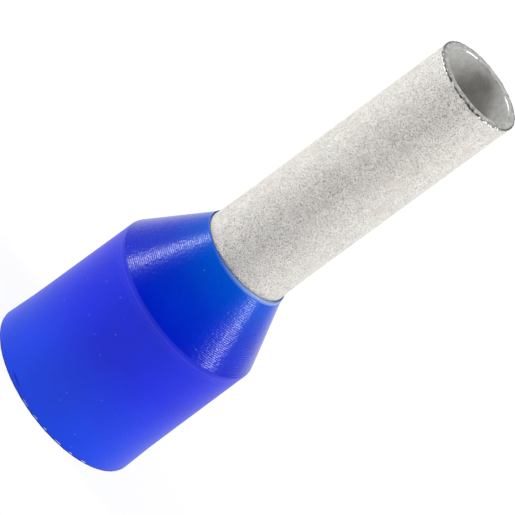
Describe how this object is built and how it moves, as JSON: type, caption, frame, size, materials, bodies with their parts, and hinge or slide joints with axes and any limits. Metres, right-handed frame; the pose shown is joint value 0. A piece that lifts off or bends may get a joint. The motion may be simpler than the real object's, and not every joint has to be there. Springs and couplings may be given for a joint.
{
  "type": "insulated wire ferrule",
  "caption": "Insulated wire ferrule: a tin-plated copper sleeve with a flared end held in a blue plastic collar with a wide wire entry and a cone.",
  "frame": {"origin": "centre of the collar's open end, where the ferrule stands", "axes": "+Z along the sleeve, from the collar's open end to the sleeve's cut end"},
  "size_m": [0.005, 0.0048, 0.014],
  "materials": {
    "tinned_copper": "matt tin plating over copper, fine grained",
    "blue_plastic": "satin moulded polypropylene, smoother and glossier on the cone"
  },
  "bodies": {
    "root": {"sleeve": "tinned_copper", "collar": "blue_plastic"}
  },
  "joints": []
}
